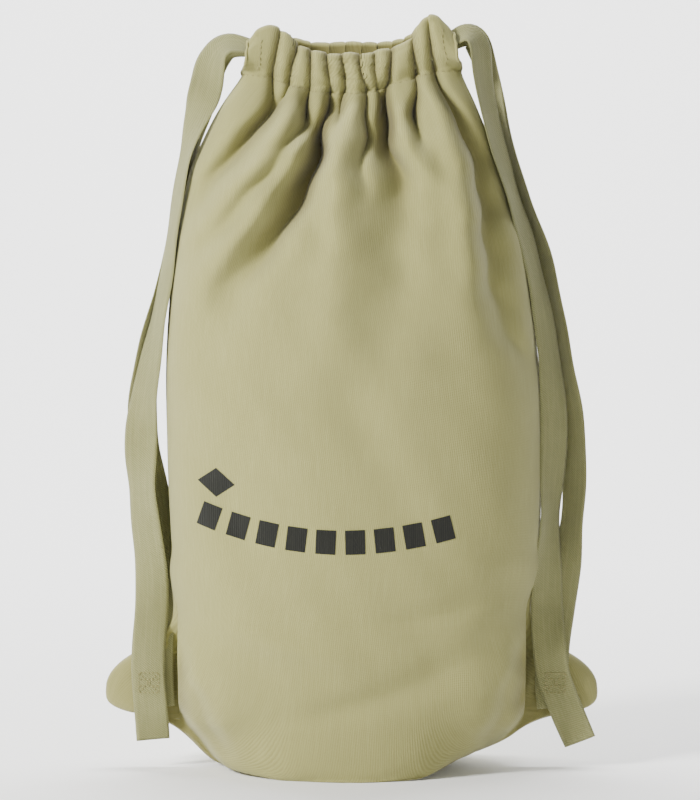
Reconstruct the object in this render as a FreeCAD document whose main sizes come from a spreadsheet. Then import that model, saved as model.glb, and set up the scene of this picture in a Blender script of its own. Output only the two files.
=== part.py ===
"""Drawstring shoe bag, standing filled: two canvas panels, two flat drawstrings and the thread that holds them.

Frame: millimetres, +Z up, origin on the floor under the middle of the bag. The front of the bag faces -Y,
and +X is to the right of someone who looks at the front.
"""

import FreeCAD, Part
import math
import os

from FreeCAD import Placement, Rotation, Vector

# Driving dimensions, all in millimetres.
DIMENSIONS = {
    "cloth": 1.2,  # canvas thickness
    "half_width": 110.0,  # filled bag at its widest
    "half_depth": 75.0,
    "neck_height": 404.0,  # where the gathered channel is stitched
    "channel_top": 434.0,
    "tab_top": 450.0,  # the channel's two ends stand up
    "channel_half_length": 62.0,
    "channel_half_depth": 17.0,
    "tab_length": 22.0,
    "mouth_half_depth": 6.4,
    "tunnel_offset": 10.7,  # the tunnel's middle, from the bag's middle plane
    "tunnel_gap": 3.4,
    "tunnel_floor": 409.0,
    "tunnel_roof": 430.0,
    "seam_allowance": 9.0,
    "tape_width": 20.0,
    "tape_thickness": 1.3,
    "folded_height": 9.5,  # tape folded lengthwise where it runs in the channel
    "folded_thickness": 2.6,
    "exit_reach": 70.0,  # where a folded run ends inside the open tape
    "left_run_foot": 409.8,  # the two folded runs lie one above the other
    "right_run_foot": 419.9,
    "sewn_height": 52.0,  # where the tape is sewn to the bag's corner
    "thread": 0.6,
    "stitch_line": 406.4,  # height of the stitching under the channel
    "ink": 0.25,
}

# The filled bag's outline: shares of neck_height, half_width and half_depth, from the floor up.
BODY_LEVELS = [
    (0.000, 0.74, 0.66),
    (0.020, 0.84, 0.79),
    (0.062, 0.92, 0.89),
    (0.149, 0.96, 0.96),
    (0.297, 0.99, 1.00),
    (0.470, 1.00, 1.00),
    (0.619, 0.98, 0.95),
    (0.743, 0.95, 0.84),
    (0.842, 0.885, 0.68),
    (0.916, 0.80, 0.52),
    (0.965, 0.70, 0.37),
    (1.000, 0.57, 0.24),
]

# A corner of the flat bag stands out of the filled one: distance out, centre height, half height, half thickness.
CORNER_SECTIONS = [
    (86.0, 48.0, 40.0, 22.0),
    (105.0, 52.0, 27.0, 11.5),
    (120.0, 53.0, 18.5, 8.0),
    (134.0, 52.0, 12.0, 6.5),
    (149.0, 49.0, 4.5, 3.0),
]

# Routes of the hanging tape in the plane of the front, as (outward distance, height), from the channel's end down.
LEFT_ROUTE = [
    (66.0, 422.0), (74.5, 429.5), (84.0, 432.0), (91.5, 426.5), (95.0, 416.0), (96.0, 403.0), (99.0, 378.0),
    (106.0, 352.0), (115.5, 303.0), (122.0, 256.0), (127.0, 208.0), (124.0, 160.0), (122.5, 110.0), (122.5, 62.0),
    (120.0, 36.0), (119.0, 17.0),
]  # fmt: skip
RIGHT_ROUTE = [
    (66.0, 424.5), (77.0, 431.5), (88.0, 434.5), (96.5, 430.0), (100.5, 419.5), (101.0, 405.0), (101.5, 378.0),
    (105.5, 352.0), (115.5, 303.0), (122.5, 256.0), (127.5, 208.0), (128.5, 160.0), (126.0, 110.0), (124.0, 62.0),
    (127.0, 36.0), (135.0, 15.0),
]  # fmt: skip

# Of each route's points, how many the rear strand shares: it ends where the tape is sewn.
REAR_POINTS = 14

# The print on the front: plain bars along a shallow, slightly tilted arc, and a plain lozenge above its left end.
PRINT_BARS = 9
PRINT_MIDDLE = -15.0
PRINT_PITCH = 17.0
PRINT_HEIGHT = 142.5
PRINT_RISE = 10.0
PRINT_LEAN = -3.2
BAR_SIZE = (11.5, 14.0)
LOZENGE = [(-90.0, 176.5), (-79.0, 184.0), (-68.0, 174.5), (-79.0, 167.0)]
SEAM_INSET = 5.0
EDGE_STEPS = 4  # points of the body's edge from one level to the next
CORNER_TOP = 95.0  # the corners join the body between these heights
CORNER_FOOT = 20.0
STITCH_PITCH = 15.0


def open_document():
    """The document and its sheet of driving dimensions."""
    document = FreeCAD.newDocument("shoe_bag")
    sheet = document.addObject("Spreadsheet::Sheet", "Dims")
    for row, (name, value) in enumerate(DIMENSIONS.items(), start=1):
        sheet.set(f"A{row}", name)
        sheet.set(f"B{row}", str(value))
        sheet.setAlias(f"B{row}", name)
    document.recompute()
    return document


def bind(feature, **expressions):
    """Ties properties to the sheet; a key such as Placement_Base_z means Placement.Base.z."""
    for key, expression in expressions.items():
        feature.setExpression(key.replace("_", ".") if key.startswith("Placement") else key, expression)
    return feature


def ellipse(document, name, major, minor, level):
    """A level ellipse, its long axis along X."""
    section = document.addObject("Part::Ellipse", name)
    return bind(section, MajorRadius=major, MinorRadius=minor, Placement_Base_z=level)


def loft(document, name, sections):
    body = document.addObject("Part::Loft", name)
    body.Sections = sections
    body.Solid = True
    body.Ruled = False
    return body


def body_loft(document, name, inset):
    """The filled bag's shape, drawn in by inset on every side but the neck's top."""
    sections = []
    for number, (level, width, depth) in enumerate(BODY_LEVELS):
        rise = f"{inset}" if number == 0 else "0 mm"
        sections.append(
            ellipse(
                document,
                f"{name}_section_{number}",
                f"Dims.half_width * {width} * 1 mm - {inset}",
                f"Dims.half_depth * {depth} * 1 mm - {inset}",
                f"Dims.neck_height * {level} * 1 mm + {rise}",
            )
        )
    return loft(document, name, sections)


def corner_loft(document, name, side, inset):
    """One bottom corner of the flat bag, which stands out at the side (+1 right, -1 left)."""
    sections = []
    for number, (out, height, half_height, half_thick) in enumerate(CORNER_SECTIONS):
        section = document.addObject("Part::Ellipse", f"{name}_section_{number}")
        section.Placement = Placement(Vector(0, 0, 0), Rotation(Vector(0, 1, 0), -90))
        drawn_in = inset if number else "0 mm"
        tip = f" - {inset}" if number == len(CORNER_SECTIONS) - 1 else ""
        bind(
            section,
            MajorRadius=f"{half_height} mm - {drawn_in}",
            MinorRadius=f"{half_thick} mm - {drawn_in}",
            Placement_Base_x=f"{side} * ({out} mm{tip})",
            Placement_Base_z=f"{height} mm",
        )
        sections.append(section)
    return loft(document, name, sections)


def box(document, name, low, size):
    """A box from expressions for its low corner and its size, each three texts."""
    made = document.addObject("Part::Box", name)
    return bind(
        made,
        Length=size[0],
        Width=size[1],
        Height=size[2],
        Placement_Base_x=low[0],
        Placement_Base_y=low[1],
        Placement_Base_z=low[2],
    )


def cylinder(document, name, radius, height, centre_x, foot):
    made = document.addObject("Part::Cylinder", name)
    return bind(
        made, Radius=radius, Height=height, Placement_Base_x=centre_x, Placement_Base_z=foot
    )


def joined(document, name, shapes):
    made = document.addObject("Part::MultiFuse", name)
    made.Shapes = shapes
    made.Refine = True
    return made


def cut(document, name, base, tool):
    made = document.addObject("Part::Cut", name)
    made.Base = base
    made.Tool = tool
    return made


def common(document, name, first, second):
    made = document.addObject("Part::Common", name)
    made.Base = first
    made.Tool = second
    return made


END_CENTRE = "(Dims.channel_half_length - Dims.channel_half_depth)"


def stadium(document, name, half_depth, foot, top):
    """A level stadium: straight front and rear, round ends about the channel's end centres."""
    middle = box(
        document,
        f"{name}_middle",
        (f"-{END_CENTRE} * 1 mm", f"-({half_depth}) * 1 mm", f"({foot}) * 1 mm"),
        (f"2 * {END_CENTRE} * 1 mm", f"2 * ({half_depth}) * 1 mm", f"({top} - ({foot})) * 1 mm"),
    )
    ends = [
        cylinder(
            document,
            f"{name}_{word}_end",
            f"({half_depth}) * 1 mm",
            f"({top} - ({foot})) * 1 mm",
            f"{side} * {END_CENTRE} * 1 mm",
            f"({foot}) * 1 mm",
        )
        for word, side in (("left", -1), ("right", 1))
    ]
    return joined(document, name, [middle, *ends])


def tabs(document):
    """The channel's upstanding ends: the stadium's full depth, over the outer tab_length at each side."""
    tall = stadium(document, "tab_stock", "Dims.channel_half_depth", "Dims.neck_height", "Dims.tab_top")
    inner = "(Dims.channel_half_length - Dims.tab_length)"
    middle = box(
        document,
        "tab_gap",
        (f"-{inner} * 1 mm", "-Dims.half_depth * 1 mm", "Dims.neck_height * 1 mm"),
        (f"2 * {inner} * 1 mm", "2 * Dims.half_depth * 1 mm", "2 * Dims.channel_top * 1 mm"),
    )
    return cut(document, "channel_tabs", tall, middle)


def tunnel(document):
    """The space inside the channel: a stadium-shaped slot whose straight runs leave through both ends."""
    floor, roof = "Dims.tunnel_floor", "Dims.tunnel_roof"
    wide = stadium(document, "tunnel_outer", "Dims.tunnel_offset + Dims.tunnel_gap / 2", floor, roof)
    narrow = stadium(document, "tunnel_inner", "Dims.tunnel_offset - Dims.tunnel_gap / 2", floor, roof)
    ring = cut(document, "tunnel_ring", wide, narrow)
    runs = [
        box(
            document,
            f"tunnel_{word}_run",
            (
                "-2 * Dims.channel_half_length * 1 mm",
                f"({side} * Dims.tunnel_offset - Dims.tunnel_gap / 2) * 1 mm",
                f"{floor} * 1 mm",
            ),
            (
                "4 * Dims.channel_half_length * 1 mm",
                "Dims.tunnel_gap * 1 mm",
                f"({roof} - {floor}) * 1 mm",
            ),
        )
        for word, side in (("front", -1), ("rear", 1))
    ]
    return joined(document, "tunnel", [ring, *runs])


def half_space(document, name):
    """Everything in front of the middle plane."""
    return box(
        document,
        name,
        ("-2 * Dims.half_width * 1 mm", "-2 * Dims.half_depth * 1 mm", "-10 mm"),
        ("4 * Dims.half_width * 1 mm", "2 * Dims.half_depth * 1 mm", "2 * Dims.neck_height * 1 mm"),
    )


def front_of(document, shape, front):
    return common(document, f"{shape.Name}_front", shape, front)


def body_edge(inset):
    """The filled body's right-hand edge in the middle plane, from the floor up, drawn in by inset."""
    curve = Part.BSplineCurve()
    curve.interpolate(
        [
            Vector(DIMENSIONS["half_width"] * width, 0, DIMENSIONS["neck_height"] * level)
            for level, width, _ in BODY_LEVELS
        ]
    )
    count = EDGE_STEPS * (len(BODY_LEVELS) - 1)
    first, last = curve.FirstParameter, curve.LastParameter
    found = [curve.value(first + (last - first) * step / count) for step in range(count + 1)]
    return [(point.x - inset, max(point.z, inset)) for point in found]


def side_points(inset):
    """The right-hand side's edge in the middle plane, from the neck down to the corner's tip, drawn in by inset."""
    points = [(x, z) for x, z in reversed(body_edge(inset)) if z > CORNER_TOP]
    for out, height, half_height, _ in CORNER_SECTIONS[1:-1]:
        points.append((out, height + half_height - inset))
    points.append((CORNER_SECTIONS[-1][0] - inset, CORNER_SECTIONS[-1][1]))
    return points


def foot_points(inset):
    """The bottom edge in the middle plane, from beside the right-hand corner's tip to the middle of the bag."""
    points = []
    for out, height, half_height, _ in reversed(CORNER_SECTIONS[1:-1]):
        points.append((out, height - half_height + inset))
    points += [(x, z) for x, z in reversed(body_edge(inset)) if z < CORNER_FOOT]
    return [*points, (0.0, inset)]


def across(points):
    """The same points at the left."""
    return [(-x, z) for x, z in points]


def flat_face(points):
    """A face in the middle plane with straight edges through the points."""
    corners = [Vector(x, 0, z) for x, z in points]
    return Part.Face(Part.makePolygon([*corners, corners[0]]))


def slab(points, near, far):
    """A flat outline given depth, from y = near to y = far."""
    shape = flat_face(points)
    shape.translate(Vector(0, near, 0))
    return shape.extrude(Vector(0, far - near, 0))


def feature(document, name, shape):
    made = document.addObject("Part::Feature", name)
    made.Shape = shape
    return made


def allowance(document):
    """The front ply's seam allowance: a strip in the middle plane that follows the flat bag's edge inside."""
    rims = []
    for inset in (DIMENSIONS["cloth"] / 2, DIMENSIONS["seam_allowance"]):
        right = side_points(inset) + foot_points(inset)
        rims.append(right + list(reversed(across(right)))[1:])
    return feature(
        document, "seam_allowance", slab(rims[0] + list(reversed(rims[1])), -DIMENSIONS["cloth"], 0)
    )


def mirrored(document, name, source):
    """The rear copy of a front piece."""
    made = document.addObject("Part::Mirroring", name)
    made.Source = source
    made.Base = Vector(0, 0, 0)
    made.Normal = Vector(0, 1, 0)
    return made


def panels(document):
    """Front and rear canvas panels, with hollow corners, a folded channel at the top and inner seam allowances."""
    front = half_space(document, "front_half")
    outer = body_loft(document, "filled_outer", "0 mm")
    corners = [corner_loft(document, f"{w}_corner_outer", s, "0 mm") for w, s in (("left", -1), ("right", 1))]
    channel = stadium(
        document, "channel", "Dims.channel_half_depth", "Dims.neck_height - Dims.cloth", "Dims.channel_top"
    )
    solids = [outer, *corners, channel, tabs(document)]
    outside = joined(document, "bag_outside", [front_of(document, s, front) for s in solids])
    cloth = "Dims.cloth * 1 mm"
    hollow = body_loft(document, "filled_inner", cloth)
    hollows = [corner_loft(document, f"{w}_corner_inner", s, cloth) for w, s in (("left", -1), ("right", 1))]
    mouth = stadium(
        document, "mouth", "Dims.mouth_half_depth", "Dims.neck_height - 4 * Dims.cloth", "Dims.tab_top + 1"
    )
    inside = joined(document, "bag_inside", [hollow, *hollows, mouth])
    shell = cut(document, "bag_shell", outside, inside)
    channelled = cut(document, "bag_channelled", shell, tunnel(document))
    panel = joined(document, "front_panel", [channelled, allowance(document)])
    return {"front_panel": panel, "rear_panel": mirrored(document, "rear_panel", panel)}, outer


def spaced(points, pitch):
    """Points at about one pitch along straight runs."""
    found = []
    for (x0, z0), (x1, z1) in zip(points, points[1:]):
        count = max(1, round(math.hypot(x1 - x0, z1 - z0) / pitch))
        for step in range(count):
            share = (step + 0.5) / count
            found.append((x0 + (x1 - x0) * share, z0 + (z1 - z0) * share))
    return found


def block(centre_x, centre_z, near, far, size):
    """A square post of thread along Y."""
    return Part.makeBox(size, far - near, size, Vector(centre_x - size / 2, near, centre_z - size / 2))


def seam_thread(document, name, line, other_line):
    """Lockstitch through both allowances: a line on each outer face and a post at each stitch."""
    size = DIMENSIONS["thread"]
    face = DIMENSIONS["cloth"]
    strip = line + list(reversed(other_line))
    middle = [((a + c) / 2, (b + d) / 2) for (a, b), (c, d) in zip(line, other_line)]
    front = slab(strip, -face - size, -face)
    rest = [slab(strip, face, face + size)]
    rest += [block(x, z, -face - size, face + size, size / 2) for x, z in spaced(middle, STITCH_PITCH)]
    return feature(document, name, front.fuse(rest).removeSplitter())


def seams(document):
    """The thread of the two side seams and of the bottom seam."""
    size = DIMENSIONS["thread"]
    near, far = side_points(SEAM_INSET)[1:], side_points(SEAM_INSET + size)[1:]
    low, high = foot_points(SEAM_INSET), foot_points(SEAM_INSET + size)
    bottom = [low + list(reversed(across(low)))[1:], high + list(reversed(across(high)))[1:]]
    return {
        "left_side_seam": seam_thread(document, "left_side_seam", across(near), across(far)),
        "right_side_seam": seam_thread(document, "right_side_seam", near, far),
        "bottom_seam": seam_thread(document, "bottom_seam", *bottom),
    }


def channel_stitching(document, front):
    """One half's stitching under the channel: a line outside, a line in the mouth and a post at each stitch."""
    foot, top = "Dims.stitch_line", "Dims.stitch_line + Dims.thread"
    rings = []
    for name, wide, narrow in (
        ("stitch_outside", "Dims.channel_half_depth + Dims.thread", "Dims.channel_half_depth"),
        ("stitch_mouth", "Dims.mouth_half_depth", "Dims.mouth_half_depth - Dims.thread"),
    ):
        ring = cut(
            document,
            name,
            stadium(document, f"{name}_wide", wide, foot, top),
            stadium(document, f"{name}_narrow", narrow, foot, top),
        )
        rings.append(front_of(document, ring, front))
    size = DIMENSIONS["thread"]
    near = -DIMENSIONS["channel_half_depth"] - size
    far = -DIMENSIONS["mouth_half_depth"] + size
    height = DIMENSIONS["stitch_line"] + size / 2
    posts = [block(10.0 * step, height, near, far, size / 2) for step in range(-4, 5)]
    stitches = feature(document, "channel_stitches", posts[0].fuse(posts[1:]))
    return joined(document, "front_channel_stitching", [*rings, stitches])


def end_stitching(document):
    """Hem stitching down each upstanding end of the channel, front and rear."""
    out = 54.0
    reach = out - (DIMENSIONS["channel_half_length"] - DIMENSIONS["channel_half_depth"])
    depth = math.sqrt(DIMENSIONS["channel_half_depth"] ** 2 - reach**2)
    made = {}
    for side, word in ((-1, "left"), (1, "right")):
        for face, where in ((-1, "front"), (1, "rear")):
            name = f"{where}_{word}_end_stitching"
            line = document.addObject("Part::Cylinder", name)
            bind(line, Radius="Dims.thread * 1 mm", Height="(Dims.tab_top - Dims.tunnel_floor - 3) * 1 mm")
            line.Placement = Placement(Vector(side * out, face * depth, 0), Rotation())
            bind(line, Placement_Base_z="(Dims.tunnel_floor + 1) * 1 mm")
            made[name] = line
    return made


def ribbon(route, side, half_width):
    """A flat tape in the middle plane along a route, given depth about it."""
    centre = Part.BSplineCurve()
    centre.interpolate([Vector(side * x, 0, z) for x, z in route])
    count = 6 * len(route)
    first, last = centre.FirstParameter, centre.LastParameter
    edges = ([], [])
    for step in range(count + 1):
        at = first + (last - first) * step / count
        point, along = centre.value(at), centre.tangent(at)[0]
        across_it = Vector(along.z, 0, -along.x)
        edges[0].append(point + across_it * half_width)
        edges[1].append(point - across_it * half_width)
    lines = []
    for points in edges:
        line = Part.BSplineCurve()
        line.approximate(points, Tolerance=0.2)
        lines.append(line.toShape())
    starts = [line.valueAt(line.FirstParameter) for line in lines]
    ends = [line.valueAt(line.LastParameter) for line in lines]
    face = Part.Face(
        Part.Wire([lines[0], Part.makeLine(ends[0], ends[1]), lines[1], Part.makeLine(starts[1], starts[0])])
    )
    thickness = DIMENSIONS["tape_thickness"]
    face.translate(Vector(0, -thickness / 2, 0))
    return face.extrude(Vector(0, thickness, 0))


def strands(document, word, side, route):
    """The two hanging strands of one drawstring: the front one upright, the rear one leaning to the same corner."""
    half = DIMENSIONS["tape_width"] / 2
    offset = DIMENSIONS["tunnel_offset"]
    front = ribbon(route, side, half)
    front.translate(Vector(0, -offset, 0))
    rear = ribbon(route[:REAR_POINTS], side, half)
    top, foot = route[0][1], route[REAR_POINTS - 1][1]
    lean = math.degrees(math.atan2(2 * offset - DIMENSIONS["tape_thickness"] / 2, top - foot))
    rear.rotate(Vector(0, 0, top), Vector(1, 0, 0), -lean)
    rear.translate(Vector(0, offset, 0))
    return [
        feature(document, f"{word}_front_strand", front),
        feature(document, f"{word}_rear_strand", rear),
    ]


def folded_run(document, word, side):
    """The tape inside the channel: in at one end, round the far end and back, folded to half its width."""
    foot = f"Dims.{word}_run_foot"
    top = f"Dims.{word}_run_foot + Dims.folded_height"
    half = "Dims.folded_thickness / 2"
    wide = stadium(document, f"{word}_run_outer", f"Dims.tunnel_offset + {half}", foot, top)
    narrow = stadium(document, f"{word}_run_inner", f"Dims.tunnel_offset - {half}", foot, top)
    ring = cut(document, f"{word}_run_ring", wide, narrow)
    open_from = "-2 * Dims.channel_half_length" if side < 0 else END_CENTRE
    opened = cut(
        document,
        f"{word}_run_turn",
        ring,
        box(
            document,
            f"{word}_run_open_end",
            (
                f"({open_from}) * 1 mm",
                "-Dims.half_depth * 1 mm",
                "Dims.neck_height * 1 mm",
            ),
            (
                f"(2 * Dims.channel_half_length - {END_CENTRE}) * 1 mm",
                "2 * Dims.half_depth * 1 mm",
                "Dims.neck_height * 1 mm",
            ),
        ),
    )
    reach = f"(Dims.exit_reach + {END_CENTRE})"
    low = "-Dims.exit_reach * 1 mm" if side < 0 else f"-{END_CENTRE} * 1 mm"
    ends = [
        box(
            document,
            f"{word}_run_{where}_end",
            (low, f"({sign} * Dims.tunnel_offset - {half}) * 1 mm", f"({foot}) * 1 mm"),
            (f"{reach} * 1 mm", "Dims.folded_thickness * 1 mm", "Dims.folded_height * 1 mm"),
        )
        for where, sign in (("front", -1), ("rear", 1))
    ]
    return [opened, *ends]


def bartack(document, name, side, centre_x):
    """The thread that sews a tape's end to the corner: a barred square in front, with posts into the corner."""
    size = DIMENSIONS["thread"]
    face = -DIMENSIONS["tunnel_offset"] - DIMENSIONS["tape_thickness"] / 2
    centre_z = DIMENSIONS["sewn_height"]
    half = 6.0
    bars = []
    for row in (-half, -half / 3, half / 3, half):
        bars.append(
            Part.makeBox(
                2 * half + size,
                size,
                size,
                Vector(side * centre_x - half - size / 2, face - size, centre_z + row - size / 2),
            )
        )
    for column in (-half, half):
        bars.append(
            Part.makeBox(
                size,
                size,
                2 * half + size,
                Vector(side * centre_x + column - size / 2, face - size, centre_z - half - size / 2),
            )
        )
    for row in (-half, half):
        for column in (-half, 0.0, half):
            bars.append(block(side * centre_x + column, centre_z + row, face - size / 2, -4.0, size))
    return feature(document, name, bars[0].fuse(bars[1:]).removeSplitter())


def drawstrings(document):
    """Two tapes: each goes through the whole channel and back, and both its ends are sewn to its own corner."""
    made = {}
    for word, side, route, centre in (("left", -1, LEFT_ROUTE, 121.5), ("right", 1, RIGHT_ROUTE, 124.0)):
        tack = bartack(document, f"{word}_corner_bartack", side, centre)
        tape = joined(
            document,
            f"{word}_tape",
            [*folded_run(document, word, side), *strands(document, word, side, route)],
        )
        made[f"{word}_drawstring"] = cut(document, f"{word}_drawstring", tape, tack)
        made[f"{word}_corner_bartack"] = tack
    return made


def front_print(document, outer):
    """Plain bars of ink along a shallow arc and a lozenge, as a film on the front of the filled bag."""
    width, height = BAR_SIZE
    bars = [slab(LOZENGE, -90.0, -30.0)]
    for number in range(PRINT_BARS):
        share = (number - (PRINT_BARS - 1) / 2) / ((PRINT_BARS - 1) / 2)
        x = PRINT_MIDDLE + share * PRINT_PITCH * (PRINT_BARS - 1) / 2
        slope = (2 * PRINT_RISE * share + PRINT_LEAN) / (PRINT_PITCH * (PRINT_BARS - 1) / 2)
        bar = Part.makeBox(width, 60.0, height, Vector(-width / 2, -90.0, -height / 2))
        bar.rotate(Vector(0, 0, 0), Vector(0, 1, 0), -math.degrees(math.atan(slope)))
        bar.translate(Vector(x, 0, PRINT_HEIGHT + PRINT_RISE * share**2 + PRINT_LEAN * share))
        bars.append(bar)
    stock = feature(document, "print_bars", Part.makeCompound(bars))
    film = common(document, "print_stock", body_loft(document, "inked_outer", "-Dims.ink * 1 mm"), stock)
    return cut(document, "front_print", film, outer)


def build(document):
    """All the parts by name."""
    parts, outer = panels(document)
    parts.update(seams(document))
    stitching = channel_stitching(document, document.getObject("front_half"))
    parts["front_channel_stitching"] = stitching
    parts["rear_channel_stitching"] = mirrored(document, "rear_channel_stitching", stitching)
    parts.update(end_stitching(document))
    parts.update(drawstrings(document))
    parts["front_print"] = front_print(document, outer)
    return parts


def main():
    document = open_document()
    parts = build(document)
    document.recompute()
    for made in document.Objects:
        if "Invalid" in made.State or "Error" in made.State:
            raise RuntimeError(f"{made.Name} did not build: {made.State}")
    os.makedirs("parts", exist_ok=True)
    for name, made in parts.items():
        made.Label = name
        if made.Shape.isNull() or not made.Shape.isValid():
            raise RuntimeError(f"{name} is not a valid solid")
        made.Shape.exportStep(f"parts/{name}.step")


main()
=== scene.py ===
"""The shoe bag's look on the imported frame.

Simulated canvas with sculpted folds, woven tapes, stitches and a plain print."""

import math

import bpy
import numpy as np
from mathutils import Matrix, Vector
from mathutils.bvhtree import BVHTree


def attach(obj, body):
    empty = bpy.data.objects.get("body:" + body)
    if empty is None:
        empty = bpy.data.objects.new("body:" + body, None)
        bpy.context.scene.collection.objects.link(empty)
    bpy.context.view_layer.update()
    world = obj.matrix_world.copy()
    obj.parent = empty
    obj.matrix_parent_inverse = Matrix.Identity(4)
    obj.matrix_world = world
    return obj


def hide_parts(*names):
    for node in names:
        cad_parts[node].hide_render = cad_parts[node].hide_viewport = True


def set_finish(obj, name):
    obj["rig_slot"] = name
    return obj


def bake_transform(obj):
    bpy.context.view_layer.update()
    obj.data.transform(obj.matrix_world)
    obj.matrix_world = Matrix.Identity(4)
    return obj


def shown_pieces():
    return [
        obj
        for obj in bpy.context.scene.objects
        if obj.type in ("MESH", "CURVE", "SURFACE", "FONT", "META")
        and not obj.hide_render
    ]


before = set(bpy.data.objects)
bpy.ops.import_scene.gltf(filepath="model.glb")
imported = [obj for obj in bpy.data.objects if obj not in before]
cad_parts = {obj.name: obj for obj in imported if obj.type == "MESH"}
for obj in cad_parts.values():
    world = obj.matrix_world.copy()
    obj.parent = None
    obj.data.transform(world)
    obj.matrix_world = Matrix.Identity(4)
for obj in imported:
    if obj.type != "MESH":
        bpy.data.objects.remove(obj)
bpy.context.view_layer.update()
MM = 0.001

# ---------------------------------------- camera
TARGET = Vector((-0.001, 0.0, 0.2205))
DISTANCE = 2.0
ELEVATION = math.radians(3.2)
HALF_VIEW = 0.2395  # half the height in view at the target
camera_data = bpy.data.cameras.new("camera")
camera = bpy.data.objects.new("camera", camera_data)
bpy.context.scene.collection.objects.link(camera)
camera.location = TARGET + DISTANCE * Vector((0, -math.cos(ELEVATION), math.sin(ELEVATION)))
camera.rotation_euler = (math.pi / 2 - ELEVATION, 0, 0)
camera_data.sensor_fit = "VERTICAL"
camera_data.angle_y = 2 * math.atan(HALF_VIEW / DISTANCE)
bpy.context.scene.camera = camera


# ---------------------------------------- helpers
def table(rows, at):
    """Columns of a given table, read smoothly at heights or shares; the first column rises."""
    rows = np.asarray(rows, float)
    rows = rows[np.argsort(rows[:, 0])]
    where, found = rows[:, 0], []
    for values in rows[:, 1:].T:
        slope = np.gradient(values, where)
        k = np.clip(np.searchsorted(where, at) - 1, 0, len(where) - 2)
        gap = where[k + 1] - where[k]
        t = np.clip((at - where[k]) / gap, 0, 1)
        found.append(
            values[k] * (1 + 2 * t) * (1 - t) ** 2
            + slope[k] * gap * t * (1 - t) ** 2
            + values[k + 1] * t * t * (3 - 2 * t)
            + slope[k + 1] * gap * t * t * (t - 1)
        )
    return found


def smooth(low, high, value):
    """An eased step from 0 at low to 1 at high."""
    t = np.clip((value - low) / (high - low), 0, 1)
    return t * t * (3 - 2 * t)


def wobble(seed, *coordinates):
    """Smooth noise between about -1 and 1 from sines, over coordinates scaled to its waves."""
    random = np.random.default_rng(seed)
    total = 0.0
    for octave in range(5):
        total = total + np.sin(
            sum(c * random.uniform(-1, 1) * 6.3 * 1.5**octave for c in coordinates) + random.uniform(0, 6.3)
        )
    return total / 3.2


def mesh_object(name, points, faces, flat=None, normals=None, shade=None):
    mesh = bpy.data.meshes.new(name)
    mesh.from_pydata(np.asarray(points).tolist(), [], [tuple(int(k) for k in f) for f in faces])
    if flat is not None:
        attribute = mesh.attributes.new("flat", "FLOAT_VECTOR", "POINT")
        attribute.data.foreach_set("vector", np.asarray(flat, np.float32).ravel())
    # The shade weight is stored as a point attribute, and the canvas material paints shade with it.
    if shade is not None:
        attribute = mesh.attributes.new("painted_shade", "FLOAT", "POINT")
        attribute.data.foreach_set("value", np.asarray(shade, np.float32).ravel())
    mesh.polygons.foreach_set("use_smooth", np.ones(len(mesh.polygons), bool))
    if normals is not None:
        mesh.normals_split_custom_set_from_vertices(np.asarray(normals).tolist())
    mesh.update()
    made = bpy.data.objects.new(name, mesh)
    bpy.context.scene.collection.objects.link(made)
    return made


def grid_faces(rows, columns, closed=False, flip=False):
    """Quads of a grid stored row by row."""
    j, i = np.meshgrid(np.arange(rows - 1), np.arange(columns if closed else columns - 1), indexing="ij")
    k = (i + 1) % columns
    quads = np.stack([j * columns + i, j * columns + k, (j + 1) * columns + k, (j + 1) * columns + i], -1)
    quads = quads.reshape(-1, 4)
    return quads[:, ::-1] if flip else quads


def rows_normals(P):
    """Normals of a grid of points [rows, columns, 3]."""
    du, dv = np.gradient(P, axis=1), np.gradient(P, axis=0)
    n = np.cross(du, dv)
    return n / (np.linalg.norm(n, axis=-1, keepdims=True) + 1e-12)


# ---------------------------------------- cloth simulation of the filled bag
WIDTH, HEIGHT = 0.312, 0.492  # a flat panel, up to its neck
NECK = 0.402  # the neck's height on the filled bag
SIDE_CUT = 0.05  # how much shorter a panel is at its sides
TIP = np.array([0.144, 0.0, 0.050])  # where a bottom corner is drawn to
ROUND = 2.2  # squareness of the stuffing's section

# The stuffing: height, half width, half depth (mm).
FORM = [
    (0, 74, 44), (12, 88, 54), (35, 98, 62), (75, 104, 68), (130, 107.5, 71.5), (200, 109, 72.5),
    (260, 107, 71), (310, 103, 66), (350, 95, 55), (380, 82, 38), (402, 56, 15),
]  # fmt: skip


def form(z, depth):
    """Half width and half depth of the stuffing at a height."""
    rows = np.array(FORM) * MM
    return np.interp(z, rows[:, 0], rows[:, 1]), np.interp(z, rows[:, 0], rows[:, 2]) * depth


def pull(a, b, rest, stiff, squeeze):
    """Two points drawn to their rest distance; squeeze is how much of that resists pressing."""
    d = b - a
    n = np.sqrt((d * d).sum(-1)) + 1e-12
    c = (n - rest) / n * 0.5 * stiff
    c = np.where(n < rest, c * squeeze, c)
    d *= c[..., None]
    return a + d, b - d


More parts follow.
